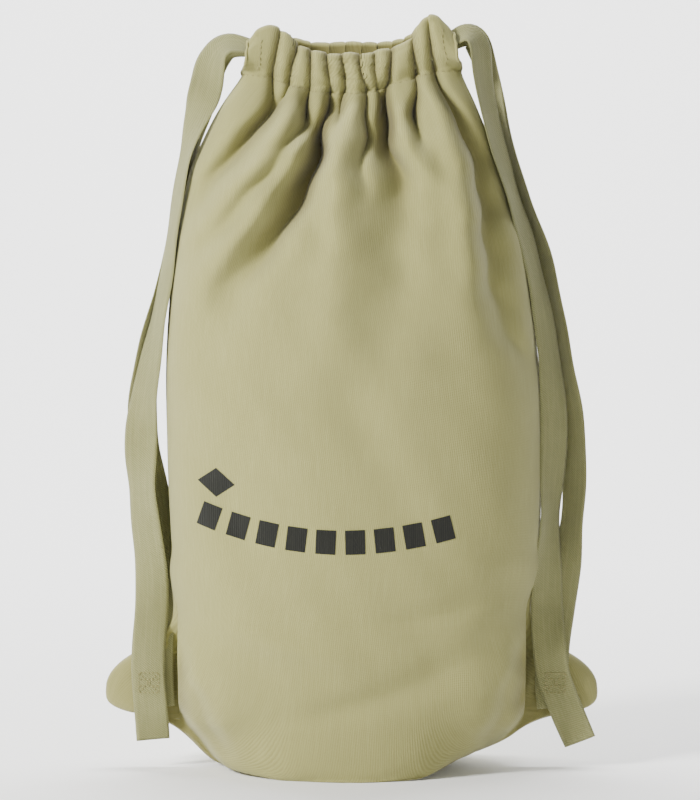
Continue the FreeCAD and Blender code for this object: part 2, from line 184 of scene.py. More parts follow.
class Cloth:
    """Two panels as one ring of columns; column 0 is the left seam, column count the right one."""

    def __init__(self, count, up):
        self.count, self.up, self.n = count, up, 2 * count
        self.du = WIDTH / count
        side = np.abs(2 * (np.arange(self.n) % count) / count - 1)[:, None]
        low = 1 - smooth(0.0, 0.28, (np.arange(up) + 0.5) / up)[None, :]
        self.dv = HEIGHT / up * (1 - SIDE_CUT * side**2 - 0.36 * low * side**4)
        self.X = np.zeros((self.n, up + 1, 3))

    def refine(self):
        new = Cloth(self.count * 2, self.up * 2)
        new.X[0::2, 0::2] = self.X
        new.X[1::2, 0::2] = (self.X + np.roll(self.X, -1, 0)) / 2
        new.X[:, 1::2] = (new.X[:, 2::2] + new.X[:, :-1:2]) / 2
        return new

    def across(self, step, stiff, squeeze):
        for first in range(2 * step):
            i = np.arange(first, self.n, 2 * step)
            k = (i + step) % self.n
            self.X[i], self.X[k] = pull(self.X[i], self.X[k], step * self.du, stiff, squeeze)

    def along(self, step, stiff, squeeze):
        X = self.X
        for first in range(2 * step):
            b = X[:, first + step :: 2 * step]
            a = X[:, first :: 2 * step][:, : b.shape[1]]
            rest = step * self.dv[:, first :: 2 * step][:, : b.shape[1]]
            a[:], b[:] = pull(a.copy(), b.copy(), rest, stiff, squeeze)

    def diagonal(self, stiff, squeeze):
        X, U = self.X, self.up
        rest = np.hypot(self.du, (self.dv + np.roll(self.dv, -1, 0)) / 2)
        for first in (0, 1):
            i = np.arange(first, self.n, 2)
            k = (i + 1) % self.n
            for low, high in ((slice(0, U), slice(1, U + 1)), (slice(1, U + 1), slice(0, U))):
                A, B = X[i], X[k]
                A[:, low], B[:, high] = pull(A[:, low], B[:, high], rest[i], stiff, squeeze)
                X[i], X[k] = A, B

    def normals(self):
        X = self.X
        n = np.cross(np.roll(X, -1, 0) - np.roll(X, 1, 0), np.gradient(X, axis=1))
        return n / (np.linalg.norm(n, axis=-1, keepdims=True) + 1e-12)

    def constrain(self, neck, depth):
        X, half = self.X, self.count
        X[:, 0] = (X[:, 0] + X[(-np.arange(self.n)) % self.n, 0]) / 2
        X[:, -1] = neck
        for i, side in ((0, -1), (half, 1)):
            X[i, 0] = X[i, 0] * 0.7 + TIP * (side, 1, 1) * 0.3
        x, y, z = X[..., 0], X[..., 1], X[..., 2]
        np.maximum(z, 0.0, out=z)
        a, b = form(z, depth)
        f = (np.abs(x) / a) ** ROUND + (np.abs(y) / b) ** ROUND
        inside = (f < 1) & (z > 0.004) & (z < NECK - 0.002)
        s = np.minimum(np.where(inside, np.maximum(f, 0.02) ** (-1 / ROUND), 1.0), 1.03)
        x *= s
        y *= s
        y[1:half, 1:] = np.minimum(y[1:half, 1:], -0.0006)
        y[half + 1 :, 1:] = np.maximum(y[half + 1 :, 1:], 0.0006)

    def settle(self, steps, neck_from, neck_to, depth_from, press, bend, squeeze):
        for step in range(steps):
            t = (step + 1) / steps
            inflate = press * (1 - smooth(0.20, 0.34, self.X[..., 2]) * 0.85)
            self.X += self.normals() * inflate[..., None]
            self.X[..., 2] -= press / 2
            self.across(1, 1.0, squeeze)
            self.along(1, 1.0, squeeze)
            self.diagonal(0.2, squeeze)
            if bend:
                self.across(2, bend, 1.0)
                self.along(2, bend, 1.0)
            self.constrain(neck_from + (neck_to - neck_from) * t, depth_from + (1 - depth_from) * t)


def neck_ring(count):
    """The gathered neck as a plain oval, a column for each share of the cloth."""
    t = np.linspace(0, np.pi, 600)
    x, y = -0.061 * np.cos(t), -0.0115 * np.sin(t) ** 0.5
    s = np.concatenate([[0], np.cumsum(np.hypot(np.diff(x), np.diff(y)))])
    u = np.linspace(0, s[-1], count + 1)
    x, y = np.interp(u, s, x), np.interp(u, s, y)
    ring = np.zeros((2 * count, 3))
    ring[:, 0] = np.concatenate([x[:-1], x[::-1][:-1]])
    ring[:, 1] = np.concatenate([y[:-1], -y[::-1][:-1]])
    ring[:, 2] = NECK
    return ring


CORNER_PASSES = 70  # evening out of the corners, which would crumple into knots


def filled_bag():
    """Points [column, row] of the relaxed cloth."""
    cloth = Cloth(16, 24)
    share = np.linspace(0, 1, 17)
    x, bulge = (share - 0.5) * WIDTH * 0.98, np.sin(np.pi * share)
    v = np.linspace(0, 1, 25)
    cloth.X[..., 0] = np.concatenate([x[:-1], x[::-1][:-1]])[:, None]
    cloth.X[..., 1] = np.concatenate([-bulge[:-1], bulge[::-1][:-1]])[:, None] * 0.01 * np.sin(np.pi * v)
    cloth.X[..., 2] = v * HEIGHT
    flat, ring = cloth.X[:, -1].copy(), neck_ring(16)
    cloth.settle(500, flat, ring, 0.05, 6e-5, 0.02, 0.05)
    cloth.settle(200, ring, ring, 1.0, 3e-5, 0.02, 0.05)
    for steps, press, bend, squeeze in ((300, 1e-5, 0.02, 0.05), (260, 5e-6, 0.08, 1.0)):
        cloth = cloth.refine()
        ring = neck_ring(cloth.count)
        cloth.settle(steps, ring, ring, 1.0, press, bend, squeeze)
    X = cloth.X
    for _ in range(CORNER_PASSES):
        around = (np.roll(X, 1, 0) + np.roll(X, -1, 0)) / 2
        above = np.concatenate([X[:, 1:], X[:, -1:]], 1)
        below = np.concatenate([X[(-np.arange(cloth.n)) % cloth.n, 1:2], X[:, :-1]], 1)
        mean = (around * 2 + above + below) / 4
        soft = smooth(0.108, 0.126, np.abs(X[..., 0])) * smooth(0.12, 0.09, X[..., 2])
        X = X + (mean - X) * (0.5 * soft)[..., None]
    return X


def finer(P, times, closed):
    """Catmull-Rom refinement along the first axis."""
    if closed:
        before, after, beyond = np.roll(P, 1, 0), np.roll(P, -1, 0), np.roll(P, -2, 0)
        base = P
    else:
        Q = np.concatenate([2 * P[:1] - P[1:2], P, 2 * P[-1:] - P[-2:-1]])
        before, base, after, beyond = Q[:-3], Q[1:-2], Q[2:-1], Q[3:]
    parts = []
    for k in range(times):
        t = k / times
        parts.append(
            base
            + 0.5 * t * (after - before)
            + t * t * (before - 2.5 * base + 2 * after - 0.5 * beyond)
            + t**3 * (1.5 * (base - after) + 0.5 * (beyond - before))
        )
    Q = np.stack(parts, 1).reshape(-1, *P.shape[1:])
    return Q if closed else np.concatenate([Q, P[-1:]])


# ---------------------------------------- sculpted shoulders, folds and channel
# Height, left edge, right edge, half depth (mm), squareness.
SHOULDERS = [
    (85, -102.5, 104.5, 73, 2.3), (100, -104.5, 107.5, 74, 2.3), (130, -107.5, 112, 75.5, 2.25),
    (165, -109.5, 113.5, 76, 2.25), (200, -110.5, 113, 76, 2.25), (236, -111, 112.5, 75, 2.25),
    (254, -110.5, 110.5, 74, 2.25), (283, -108.5, 107.5, 70, 2.25), (312, -105, 103, 65, 2.3),
    (342, -100, 94, 56, 2.4), (358, -95.5, 88.5, 50, 2.5), (370, -89, 82.5, 43.5, 2.6),
    (380, -82.5, 77, 37, 2.7), (388, -76.5, 72.5, 31, 2.9), (394, -71.5, 69, 25, 3.1),
    (399, -67.5, 66.5, 20, 3.4), (403, -65, 65, 17.4, 3.8), (420, -61, 61, 17, 4),
]  # fmt: skip

# Folds of the front (mm): height, middle, reach to the left and to the right, depth, below 0 for a ridge.
FOLDS = [
    # the deep valley left of the middle, which swings out to the left side
    [(438, -15, 2, 2, 3), (428, -15.5, 2, 2, 7), (418, -14, 2.2, 2, 8), (407, -12.5, 2.6, 2.2, 6.5),
     (397, -13.2, 4.5, 2.8, 13), (388, -15, 6.5, 3.4, 19), (378, -16.8, 8.5, 4, 23),
     (363, -18.5, 12, 4.4, 25), (350, -23.5, 15, 5.2, 24), (338, -30, 16, 6, 22), (318, -43, 17, 8, 17),
     (300, -57, 18, 10, 12), (281, -70, 18, 12, 8), (251, -82, 19, 13, 3.2), (225, -88, 20, 14, 0)],
    # left of it: a short hollow that runs on as a soft trough
    [(438, -24, 2, 2, 3), (428, -24.5, 2, 2, 7), (416, -24.5, 2, 2, 8), (406, -24.5, 2.3, 2.3, 6.5),
     (397, -26, 3.6, 3.6, 12), (390, -27, 4.8, 4.4, 13.5), (382, -29, 5.6, 5, 9), (372, -36, 7, 6, 6),
     (348, -54, 9, 8, 5), (325, -73, 10, 9, 4), (300, -92, 11, 10, 0)],
    [(442, -30, 2, 2, 3), (430, -32.5, 2.2, 2.2, 7), (416, -36, 2.2, 2.2, 8), (406, -37.5, 2.4, 2.4, 5.5),
     (397, -41, 3, 3, 5), (388, -45, 4.2, 4.2, 2.5), (376, -50, 5, 5, 0)],
    # the outermost valley at the left
    [(446, -41, 3, 2, 2), (432, -43.5, 2.4, 2, 6), (416, -46.5, 2.5, 2.5, 8), (405, -46.5, 3.5, 3.5, 7),
     (396, -47.5, 5, 5, 11), (389, -50.5, 6.2, 6, 13), (380, -57, 7.5, 7, 13.5), (369, -67, 8.5, 8, 12),
     (355, -78, 9.5, 9, 9.5), (341, -87, 10, 10, 6), (322, -94, 11, 11, 2.5), (300, -98, 12, 12, 0)],
    # the middle
    [(438, -6, 2, 2, 3), (428, -6, 2, 2, 7), (416, -5, 2, 2, 8), (406, -4, 2.3, 2.3, 6.5),
     (398, -5, 3.4, 3.2, 11), (391, -6.4, 4.4, 3.6, 10.5), (384, -8, 5, 4.2, 5), (374, -9, 5, 5, 0)],
    [(438, 3.5, 1.8, 1.8, 3), (428, 4, 2, 2, 7), (416, 5.5, 2, 2, 8), (407, 7.6, 2.2, 2.2, 6),
     (398, 8.8, 3, 2.4, 10), (390, 8.8, 3.8, 2.5, 12), (380, 8.2, 4.2, 2.7, 10.5), (369, 7, 4.8, 3, 7.5),
     (355, 6, 6, 4, 4), (334, 6, 8, 6, 0)],
    [(438, 13, 1.8, 1.8, 3), (426, 13.5, 2, 2, 7), (416, 14, 2, 2, 7), (406, 15, 2, 2, 4),
     (398, 15.5, 2.4, 2.2, 4), (386, 14.8, 3, 2.6, 3), (374, 13, 3.6, 3.2, 0)],
    # the deep valley right of the middle
    [(440, 25, 2, 2, 3), (428, 24, 2.2, 2.2, 8), (416, 22.5, 2.6, 2.6, 10), (407, 21.3, 3.2, 3, 10),
     (398, 20.8, 5, 4.2, 17), (388, 21.2, 7, 4.8, 22), (380, 21.8, 8.5, 5.2, 23), (370, 23, 10.5, 6, 20),
     (360, 26, 12, 8, 17), (348, 30, 13, 10, 13.5), (336, 29.5, 15, 12, 10.5), (322, 28, 16, 13, 8),
     (288, 27, 18, 15, 5), (251, 19, 20, 17, 2.2), (222, 10, 21, 19, 0)],
    [(444, 36, 2, 2, 3), (430, 36.5, 2.4, 2.4, 8), (418, 37.5, 2.6, 2.6, 10), (406, 38.5, 2.8, 2.8, 8),
     (398, 37.8, 3.8, 3.6, 14), (390, 37.2, 5, 4.4, 15), (382, 37.6, 5.4, 5, 9), (372, 39, 6, 5.6, 4),
     (358, 41, 7, 7, 0)],
    # the ridge at the right with the recess behind its sharp edge
    [(446, 45.5, 2.4, 2, 2), (432, 46.5, 2.4, 2.4, 7), (418, 48.5, 2.8, 3, 8), (406, 52, 3.2, 4.4, 8),
     (396, 56.5, 3.4, 7, 10), (386, 61, 3.6, 9, 12), (375, 66, 4, 11, 14), (363, 70.5, 4.4, 13, 15),
     (341, 74.5, 4.8, 14, 15.5), (318, 77, 5.4, 15, 14.5), (300, 79.5, 6, 14, 12.5), (285, 83, 7, 13, 10.5),
     (270, 88, 8, 11, 8.5), (258, 94, 8, 9, 7), (247, 100, 8, 8, 5), (233, 106, 8, 7, 2.5),
     (218, 109, 8, 7, 0)],
    [(414, 42, 3, 3, -1.5), (401, 48.5, 4, 3, -4), (386, 55, 7, 3.4, -6.5), (363, 63.5, 10, 4.4, -7.5),
     (341, 67, 11, 5, -7.5), (310, 69, 12, 6.4, -6), (273, 71, 14, 8, -3.4), (245, 75, 16, 10, 0)],
    # ridges at the middle and the left
    [(410, 2, 2.6, 2.6, -2), (393, 0.5, 4.4, 5, -5), (380, -5, 5.4, 7, -6), (363, -8, 5.4, 9, -7),
     (333, -8.5, 7.4, 13, -6.5), (288, -9, 13, 16, -4.6), (250, -15, 16, 18, -2), (225, -23, 18, 18, 0)],
    [(408, -32.5, 2.6, 2.6, -2), (396, -36, 4.4, 4.4, -5), (383, -40, 6.4, 6.4, -6), (356, -57, 9, 9, -6.2),
     (335, -79, 10, 10, -4.4), (318, -92, 10, 10, -2), (300, -99, 10, 10, 0)],
    [(407, -18, 2.6, 2.6, -2), (389, -21, 4.4, 3.4, -5), (369, -32, 6.4, 5.4, -6.8), (339, -51, 10, 8, -7.4),
     (318, -66, 11, 9, -6.2), (294, -85, 12, 10, -4), (268, -94, 12, 11, 0)],
    [(398, 29.5, 3, 3, 0), (390, 29.6, 4.4, 4.4, -4), (380, 30.5, 5.4, 5.4, -5), (369, 37, 7.4, 7.4, -4.4),
     (345, 47, 11, 10, 0)],
    # where the corners leave the body
    [(96, -103, 6, 6, 0), (84, -103, 6, 6, 4), (68, -103, 5, 6, 10), (45, -103, 5, 6, 11),
     (28, -104, 5, 6, 6), (14, -104, 6, 6, 0)],
    [(96, 104, 6, 6, 0), (84, 104, 6, 6, 4), (68, 103, 6, 5, 10), (45, 103, 6, 5, 11), (28, 104, 6, 5, 6),
     (14, 104, 6, 6, 0)],
    [(70, -103, 6, 5, 0), (56, -97, 9, 5, 4), (36, -88, 12, 6, 7), (16, -79, 13, 7, 6), (4, -73, 12, 8, 2),
     (0, -72, 12, 8, 0)],
    [(84, 101, 5, 8, 0), (62, 96, 5, 9, 4), (40, 90, 6, 12, 7), (22, 84, 7, 13, 6), (8, 82, 8, 12, 2),
     (0, 82, 8, 12, 0)],
    # broad creases across the lower body
    [(86, 84, 26, 26, 0), (70, 60, 24, 24, 2.6), (54, 28, 24, 26, 3.4), (42, -2, 26, 26, 2.4),
     (30, -34, 26, 26, 0)],
    [(128, 96, 20, 20, 0), (112, 80, 20, 20, 2.2), (100, 58, 22, 22, 2.4), (90, 30, 24, 24, 0)],
    [(102, -84, 20, 20, 0), (88, -60, 22, 22, -2), (76, -26, 24, 24, -2.4), (64, 6, 24, 24, 0)],
    # the slack lower half
    [(246, 8, 26, 26, 0), (229, 5, 24, 24, 3), (213, 4, 22, 24, 3.8), (185, 14, 22, 24, 3.2),
     (154, 26, 24, 24, 2.6), (122, 32, 26, 26, 0)],
    [(200, -74, 18, 20, 0), (180, -72, 16, 20, 2), (150, -66, 16, 22, 2.6), (120, -58, 18, 24, 0)],
    [(262, 46, 20, 20, 0), (240, 50, 20, 20, 2.2), (215, 56, 20, 20, 2.2), (190, 60, 20, 20, 0)],
]  # fmt: skip


def folds(x, z, mirror=False):
    """How far the folds press the front in (metres) at x, z."""
    total = np.zeros(np.shape(x))
    for number, rows in enumerate(FOLDS):
        scale = 1.0
        if mirror:  # the rear has the same gathers the other way round, and slacker folds
            scale = (0.8, 0.55, 1.0, 0.7, 0.9, 0.6)[number % 6]
        sign = -1 if mirror else 1
        rows = np.array(rows, float) * MM
        middle, left, right, depth = table(rows, z)
        middle = middle + 0.0012 * np.sin(z * 210 + number * 2.1) * smooth(0.43, 0.36, z)
        depth = np.where((z <= rows[:, 0].min()) | (z >= rows[:, 0].max()), 0, depth)
        off = sign * x - middle
        reach = np.where(off < 0, left, right)
        total += scale * depth * np.exp(-np.abs(off / reach) ** 2.0)
    return total


def section(z, share):
    """A point of the unfolded front at a height, its share of the way from the left seam to the right one."""
    left, right, depth, power = table(np.array(SHOULDERS) * (MM, MM, MM, MM, 1), z)
    grid = np.linspace(0, np.pi, 241)
    c, s = -np.cos(grid), np.sin(grid)
    k = (2 / power)[..., None]
    half, middle = ((right - left) / 2)[..., None], ((right + left) / 2)[..., None]
    x = middle + half * np.sign(c) * np.abs(c) ** k
    y = -depth[..., None] * np.abs(s) ** k
    run = np.concatenate([np.zeros((*z.shape, 1)), np.cumsum(np.hypot(np.diff(x), np.diff(y)), -1)], -1)
    want = share * run[..., -1]
    runs = run.reshape(-1, grid.size)
    at = np.stack([np.interp(w, r, grid) for w, r in zip(want.ravel(), runs)]).reshape(z.shape)
    c, s = -np.cos(at), np.sin(at)
    k = 2 / power
    return middle[..., 0] + half[..., 0] * np.sign(c) * np.abs(c) ** k, -depth * np.abs(s) ** k


COLUMNS, ROWS = 192, 192
BELLY = 0.24  # the cloth rises evenly above this height
CHANNEL = np.linspace(0, 1, 16)[1:]  # rows up the channel's outer ply
HEM_AT = 54 * MM  # how far out the end stitches lie
# Along the channel (mm): the gathering stitch's height, and the rim's in front and behind.
STITCH_LINE = [(-70, 414), (-51, 411.5), (-30, 405), (-10, 402), (15, 404), (34, 410.5), (48, 414), (70, 416)]
FRONT_RIM = [
    (-66, 430), (-61, 436), (-55, 439.5), (-48, 439.5), (-41, 435), (-34, 429), (-27, 426), (-20, 424.5),
    (-12, 423), (-2, 424), (8, 423), (18, 425.5), (27, 427), (34, 431), (40, 438), (46, 444.5), (53, 446),
    (59, 442), (65, 435),
]  # fmt: skip
REAR_RIM = [
    (-64, 432), (-56, 436), (-48, 438.5), (-40, 435), (-30, 432), (0, 431.5), (30, 433), (40, 437),
    (48, 442.5), (56, 442), (64, 435),
]  # fmt: skip

# The side seam's distance out by height, and the bottom seam's height from left to right (mm).
CORNER_EDGE = [
    (20, 147), (50, 147), (57, 143), (65, 134), (72, 120), (78, 108), (85, 103), (95, 103.5), (140, 109),
]  # fmt: skip
CORNER_FOOT = [
    (-147, 47), (-139, 37), (-128, 30), (-116, 27), (-106, 23), (-98, 17), (-90, 9.5), (-82, 3), (-75, 0.5),
    (-60, 0.4), (0, 0.4), (36, 0.4), (50, 2), (64, 5), (78, 9.5), (90, 14), (100, 21), (108, 26), (116, 28),
    (128, 31), (139, 38), (147, 47),
]  # fmt: skip


def along_channel(rows, x):
    return table(np.array(rows) * MM, x)[0]


# The front face's lower edges, from the top down (mm): beyond them the cloth turns back towards the corners.
FACE_EDGES = [((-104, 66), (-103, 42)), ((-103, 42), (-72, -2)), ((112, 56), (89, 14)), ((89, 14), (40, -3))]


def turned_back(x, z):
    """How far (metres) a place lies beyond the front face's lower edges."""
    total = 0
    for (x0, z0), (x1, z1) in FACE_EDGES:
        across = np.array([z0 - z1, x1 - x0], float) / math.hypot(x1 - x0, z1 - z0)
        across *= np.sign(across[0] * x0)
        beyond = (x - x0 * MM) * across[0] + (z - z0 * MM) * across[1]
        total = np.maximum(total, 0.001 * np.log1p(np.exp(np.clip(beyond / 0.001, -30, 30))))
    limit = smooth(0.075, 0.055, z) * smooth(0.128, 0.112, np.abs(x))
    return np.minimum(total, 0.022) * limit


def averaged(values, weights):
    """A running average that keeps the ends."""
    return np.convolve(np.pad(values, len(weights) // 2, "edge"), weights / weights.sum(), "valid")


def raised(P, v, share, sign):
    """The cloth rises evenly above the belly, and the sculpted section takes over. Gives its weight."""
    start = [np.interp(BELLY, np.maximum.accumulate(P[:, i, 2]), v[:, 0]) for i in range(COLUMNS + 1)]
    start = averaged(np.array(start), np.hanning(25))
    even = BELLY + (NECK - BELLY) * (v - start) / (1 - start)
    w = smooth(0.22, 0.30, even)
    P[..., 2] = P[..., 2] * (1 - w) + even * w

    levels = np.arange(SHOULDERS[0][0], SHOULDERS[-1][0] + 1) * MM
    sections = section(*np.broadcast_arrays(levels[:, None], share))
    at = np.clip((P[..., 2] - levels[0]) / MM, 0, len(levels) - 1.001)
    k, t = at.astype(int), at % 1.0
    column = np.arange(COLUMNS + 1)[None, :]
    x, y = (s[k, column] * (1 - t) + s[k + 1, column] * t for s in sections)
    w = smooth(0.088, 0.135, P[..., 2])
    P[..., 0] += (x - P[..., 0]) * w
    P[..., 1] += (-sign * y - P[..., 1]) * w
    stitch = along_channel(STITCH_LINE, P[-1, :, 0])
    P[..., 2] += (stitch - NECK)[None, :] * smooth(0.345, NECK, P[..., 2])
    return w


def draw_in(P, w, sign):
    """The body draws in between the corners, whose lower edges rise from the floor. w is 1 where it stays."""
    x, z = P[..., 0], P[..., 2]
    seam = P[20:110, 0 if sign < 0 else -1]
    core = 0.06  # this much of the half width is left alone
    seam_now = np.interp(z, seam[:, 2], np.abs(seam[:, 0]))
    seam_then = table(np.array(CORNER_EDGE) * MM, z)[0]
    draw = np.clip((seam_then - core) / (seam_now - core), 0.4, 1.05) * (1 - w) + w
    drawn = core + (np.abs(x) - core) * draw
    P[..., 0] = np.sign(x) * (np.abs(x) + (drawn - np.abs(x)) * smooth(0.055, 0.098, np.abs(x)))
    foot = averaged(along_channel(CORNER_FOOT, P[0, :, 0]) - P[0, :, 2], np.ones(9))
    P[..., 2] = z + foot * (1 - smooth(0.0, 0.075, z - P[:1, :, 2]))


def shape_ears(P, v, share, sign):
    """The corners that stand out, as thin rounded ears that are not quite flat."""
    near_x, near_z, far_x, far_z = 0.108, 0.052, 0.148, 0.045  # an ear's root and its tip
    in_from_side = np.minimum(share, 1 - share) * WIDTH
    out = np.hypot(in_from_side, v * HEIGHT)  # along the cloth from the corner's point
    ear = smooth(0.085, 0.055, out) * (np.abs(P[..., 0]) > 0.02)
    turn = np.arctan2(v * HEIGHT, in_from_side) / (math.pi / 4) - 1  # from -1, bottom seam, to 1, side seam
    reach = np.clip(out / 0.066, 0, 1)
    half = 0.0245 * (0.62 * np.sqrt(np.clip(1 - (1 - reach) ** 2, 0, 1)) + 0.38 * reach)
    places = (
        np.sign(P[..., 0]) * (far_x + (near_x - far_x) * reach**1.35 + 0.004 * np.abs(turn) ** 3 * reach),
        sign * np.sqrt(np.clip(1 - turn**2, 0, 1)) ** 1.1 * (0.0105 * reach**0.55 + 0.010 * reach**3),
        far_z + (near_z - far_z) * reach + half * np.sin(turn * math.pi / 2) * (1 - 0.12 * (turn < 0)),
    )
    for axis, place in enumerate(places):
        P[..., axis] += (place - P[..., axis]) * ear


def relaxed(P, amount, passes, seams=False):
    """The cloth evened out where amount says, along its seams too where seams is set."""
    for _ in range(passes):
        mean = P.copy()
        mean[1:-1, 1:-1] = (P[2:, 1:-1] + P[:-2, 1:-1] + P[1:-1, 2:] + P[1:-1, :-2]) / 4
        if seams:
            mean[0, 1:-1] = (P[0, 2:] + P[0, :-2]) / 2
            mean[1:-1, 0] = (P[2:, 0] + P[:-2, 0]) / 2
            mean[1:-1, -1] = (P[2:, -1] + P[:-2, -1]) / 2
        P = P + (mean - P) * (0.6 * amount)[..., None]
    return P


def settle_low(P, sign):
    """The sides make room for the tapes, the foot sits flat, and the face turns back at its lower edges."""
    x, z = P[..., 0], P[..., 2]
    limit = 0.1035 + 5 * np.clip(0.013 - np.abs(P[..., 1]), 0, None) + 0.012 * smooth(0.095, 0.13, z)
    x = P[..., 0] = np.where(z < 0.13, np.sign(x) * np.minimum(np.abs(x), limit), x)
    sits = smooth(-0.098, -0.074, x) * smooth(0.066, 0.036, x)  # the weight inside flattens the foot
    P[..., 2] = z * (1 - 0.75 * sits * smooth(0.028, 0.004, z))
    out = np.abs(P[..., 1])
    back = 2.2 * turned_back(P[..., 0], P[..., 2])
    P[..., 1] = sign * np.maximum(out - back, np.minimum(out, 0.004))


def press(Q, lowest, sign):
    """The folds pressed into cloth that stays at least lowest from the middle plane."""
    x, z, out, step = Q[..., 0], Q[..., 2], np.abs(Q[..., 1]), 0.0004
    fade = smooth(0.0, 0.012, out)
    deep = folds(x, z, sign > 0)
    steep = (folds(x + step, z, sign > 0) - deep) / step
    tug = 0.0008 * wobble(11 + sign, x * 9, z * 7) * smooth(0.02, 0.08, z)
    Q[..., 1] = sign * np.maximum(out - deep * fade + tug, np.minimum(lowest, out))
    Q[..., 0] = x + np.clip(0.0007 * steep, -0.0026, 0.0026) * fade * smooth(0.10, 0.2, z)


def channel(neck, share, sign):
    """The channel above the neck: outer ply, rolled rim and inner ply, open at both ends."""
    rim = along_channel(FRONT_RIM if sign < 0 else REAR_RIM, neck[:, 0])
    r = CHANNEL[:, None]
    outer = np.empty((len(CHANNEL), COLUMNS + 1, 3))
    outer[..., 2] = neck[:, 2] + (rim - neck[:, 2]) * r
    squeeze = table([(0, 1.0), (0.3, 0.972), (0.7, 0.945), (1, 0.935)], r)[0]
    uneven = wobble(5, neck[:, 0] * 40 + 0 * r, r * 1.5 + 0 * neck[:, 0])
    outer[..., 0] = neck[:, 0] * squeeze + 0.0008 * uneven
    plain = np.abs(section(np.full((1, COLUMNS + 1), 0.412), share)[1])
    body = table([(0, 16.2), (0.12, 16.6), (0.4, 18.6), (0.75, 18.2), (1, 15.6)], r)[0] * MM
    opened = smooth(0.02, 0.4, r)
    outer[..., 1] = sign * (plain / 0.0172 * body * (1 - opened) + body * opened)
    press(outer, 0.0085, sign)

    top = outer[-1]
    mouth = 0.0062 + 0.25 * (np.abs(top[:, 1]) - 0.0156).clip(-0.004, 0.004)
    middle, half = (np.abs(top[:, 1]) + mouth) / 2, (np.abs(top[:, 1]) - mouth) / 2
    turns = []
    for angle in np.linspace(0, math.pi, 7)[1:-1]:
        x = top[:, 0] * (1 - 0.004 * (1 - math.cos(angle)))
        y = sign * (middle + half * math.cos(angle))
        turns.append(np.stack([x, y, top[:, 2] + np.minimum(half * 0.8, 0.0036) * math.sin(angle)], -1))
    inner = []
    for share_down in np.linspace(0, 1, 10):
        down = 1 - share_down
        beside = outer[min(len(CHANNEL) - 1, int(down * len(CHANNEL)))]
        x = top[:, 0] * 0.992 + (neck[:, 0] - top[:, 0]) * share_down * 0.95
        y = mouth + (np.abs(neck[:, 1]) - 0.0016 - mouth) * smooth(0.35, 1.0, share_down)
        y = sign * np.maximum(np.minimum(y, np.abs(beside[:, 1]) - 0.0011), 0.0004)
        inner.append(np.stack([x, y, neck[:, 2] + (rim - neck[:, 2]) * down], -1))
    return outer, np.array(turns), np.array(inner)


def panel(X, sign):
    """One panel as rows of points, from the bottom seam up the outside, over the channel and down the inside.

    sign is -1 for the front and +1 for the rear; columns run from the left seam to the right one. Also gives
    the rows' places on the flat cloth, and the numbers of rows up to the channel and up to its inner end."""
    P = X[: COLUMNS + 1] if sign < 0 else X[(-np.arange(COLUMNS + 1)) % (2 * COLUMNS)]
    P = P.swapaxes(0, 1).copy()  # [row, column]
    v = np.linspace(0, 1, ROWS + 1)[:, None]
    share = np.linspace(0, 1, COLUMNS + 1)[None, :]
    draw_in(P, raised(P, v, share, sign), sign)
    shape_ears(P, v, share, sign)
    out, z = np.abs(P[..., 0]), P[..., 2]
    wide = smooth(0.04, 0.058, out) * smooth(0.124, 0.112, out) * smooth(0.085, 0.06, z)
    soft = smooth(0.072, 0.09, out) * smooth(0.132, 0.118, out) * smooth(0.125, 0.1, z)
    wide[:1] = 0
    P = relaxed(relaxed(P, wide, 130), soft, 110, seams=True)
    settle_low(P, sign)
    press(P, 0.003, sign)
    outer, turns, inner = channel(P[-1], share, sign)

    normals = rows_normals(P)
    normals *= np.sign((normals * (P - np.array([0, 0, 0.2])) * (1, 1, 0)).sum(-1, keepdims=True).mean())
    inside = (P - 0.0012 * normals)[ROWS // 2 :: 2][::-1][1:]  # from mid height up
    inside[..., 1] = sign * np.maximum(sign * inside[..., 1], 0.0003)
    inside[..., 2] = np.maximum(inside[..., 2], 0.0011)
    heights = np.concatenate([
        v[:, 0] * HEIGHT, HEIGHT + CHANNEL * 0.034, HEIGHT + 0.034 + np.linspace(0, 0.008, 7)[1:-1],
        HEIGHT + 0.042 + np.linspace(0, 0.03, 10), HEIGHT + 0.072 + np.linspace(0, HEIGHT / 2, len(inside)),
    ])  # fmt: skip
    points = np.concatenate([P, outer, turns, inner, inside])
    return points, heights, len(P), len(points) - len(inside)


def tube(line, radius, sides=6):
    """Points and faces of a tube along a line, its ends closed to a point."""
    line = np.asarray(line, float)
    along = np.gradient(line, axis=0)
    along /= np.linalg.norm(along, axis=1, keepdims=True) + 1e-12
    helper = np.where(np.abs(along[:, 1:2]) < 0.9, [[0.0, 1.0, 0.0]], [[1.0, 0.0, 0.0]])
    a = np.cross(along, helper)
    a /= np.linalg.norm(a, axis=1, keepdims=True)
    b = np.cross(along, a)
    angle = np.linspace(0, 2 * np.pi, sides, endpoint=False)
    size = np.full(len(line), radius)
    size[0] = size[-1] = radius * 0.25
    rings = line[:, None] + size[:, None, None] * (
        np.cos(angle)[None, :, None] * a[:, None] + np.sin(angle)[None, :, None] * b[:, None]
    )
    ends = line[[0, -1]] + along[[0, -1]] * [[-radius / 2], [radius / 2]]
    points = np.concatenate([rings.reshape(-1, 3), ends])
    faces = grid_faces(len(line), sides, closed=True).tolist()
    last = len(points) - 1
    for k in range(sides):
        faces.append(((k + 1) % sides, k, last - 1))
        faces.append((last - 1 - sides + k, last - 1 - sides + (k + 1) % sides, last))
    return points, faces


def many(name, parts):
    """One object from several (points, faces)."""
    points, faces, count = [], [], 0
    for p, f in parts:
        points.append(p)
        faces += [tuple(k + count for k in face) for face in f]
        count += len(p)
    points = np.concatenate(points)
    return mesh_object(name, points, faces, flat=points)


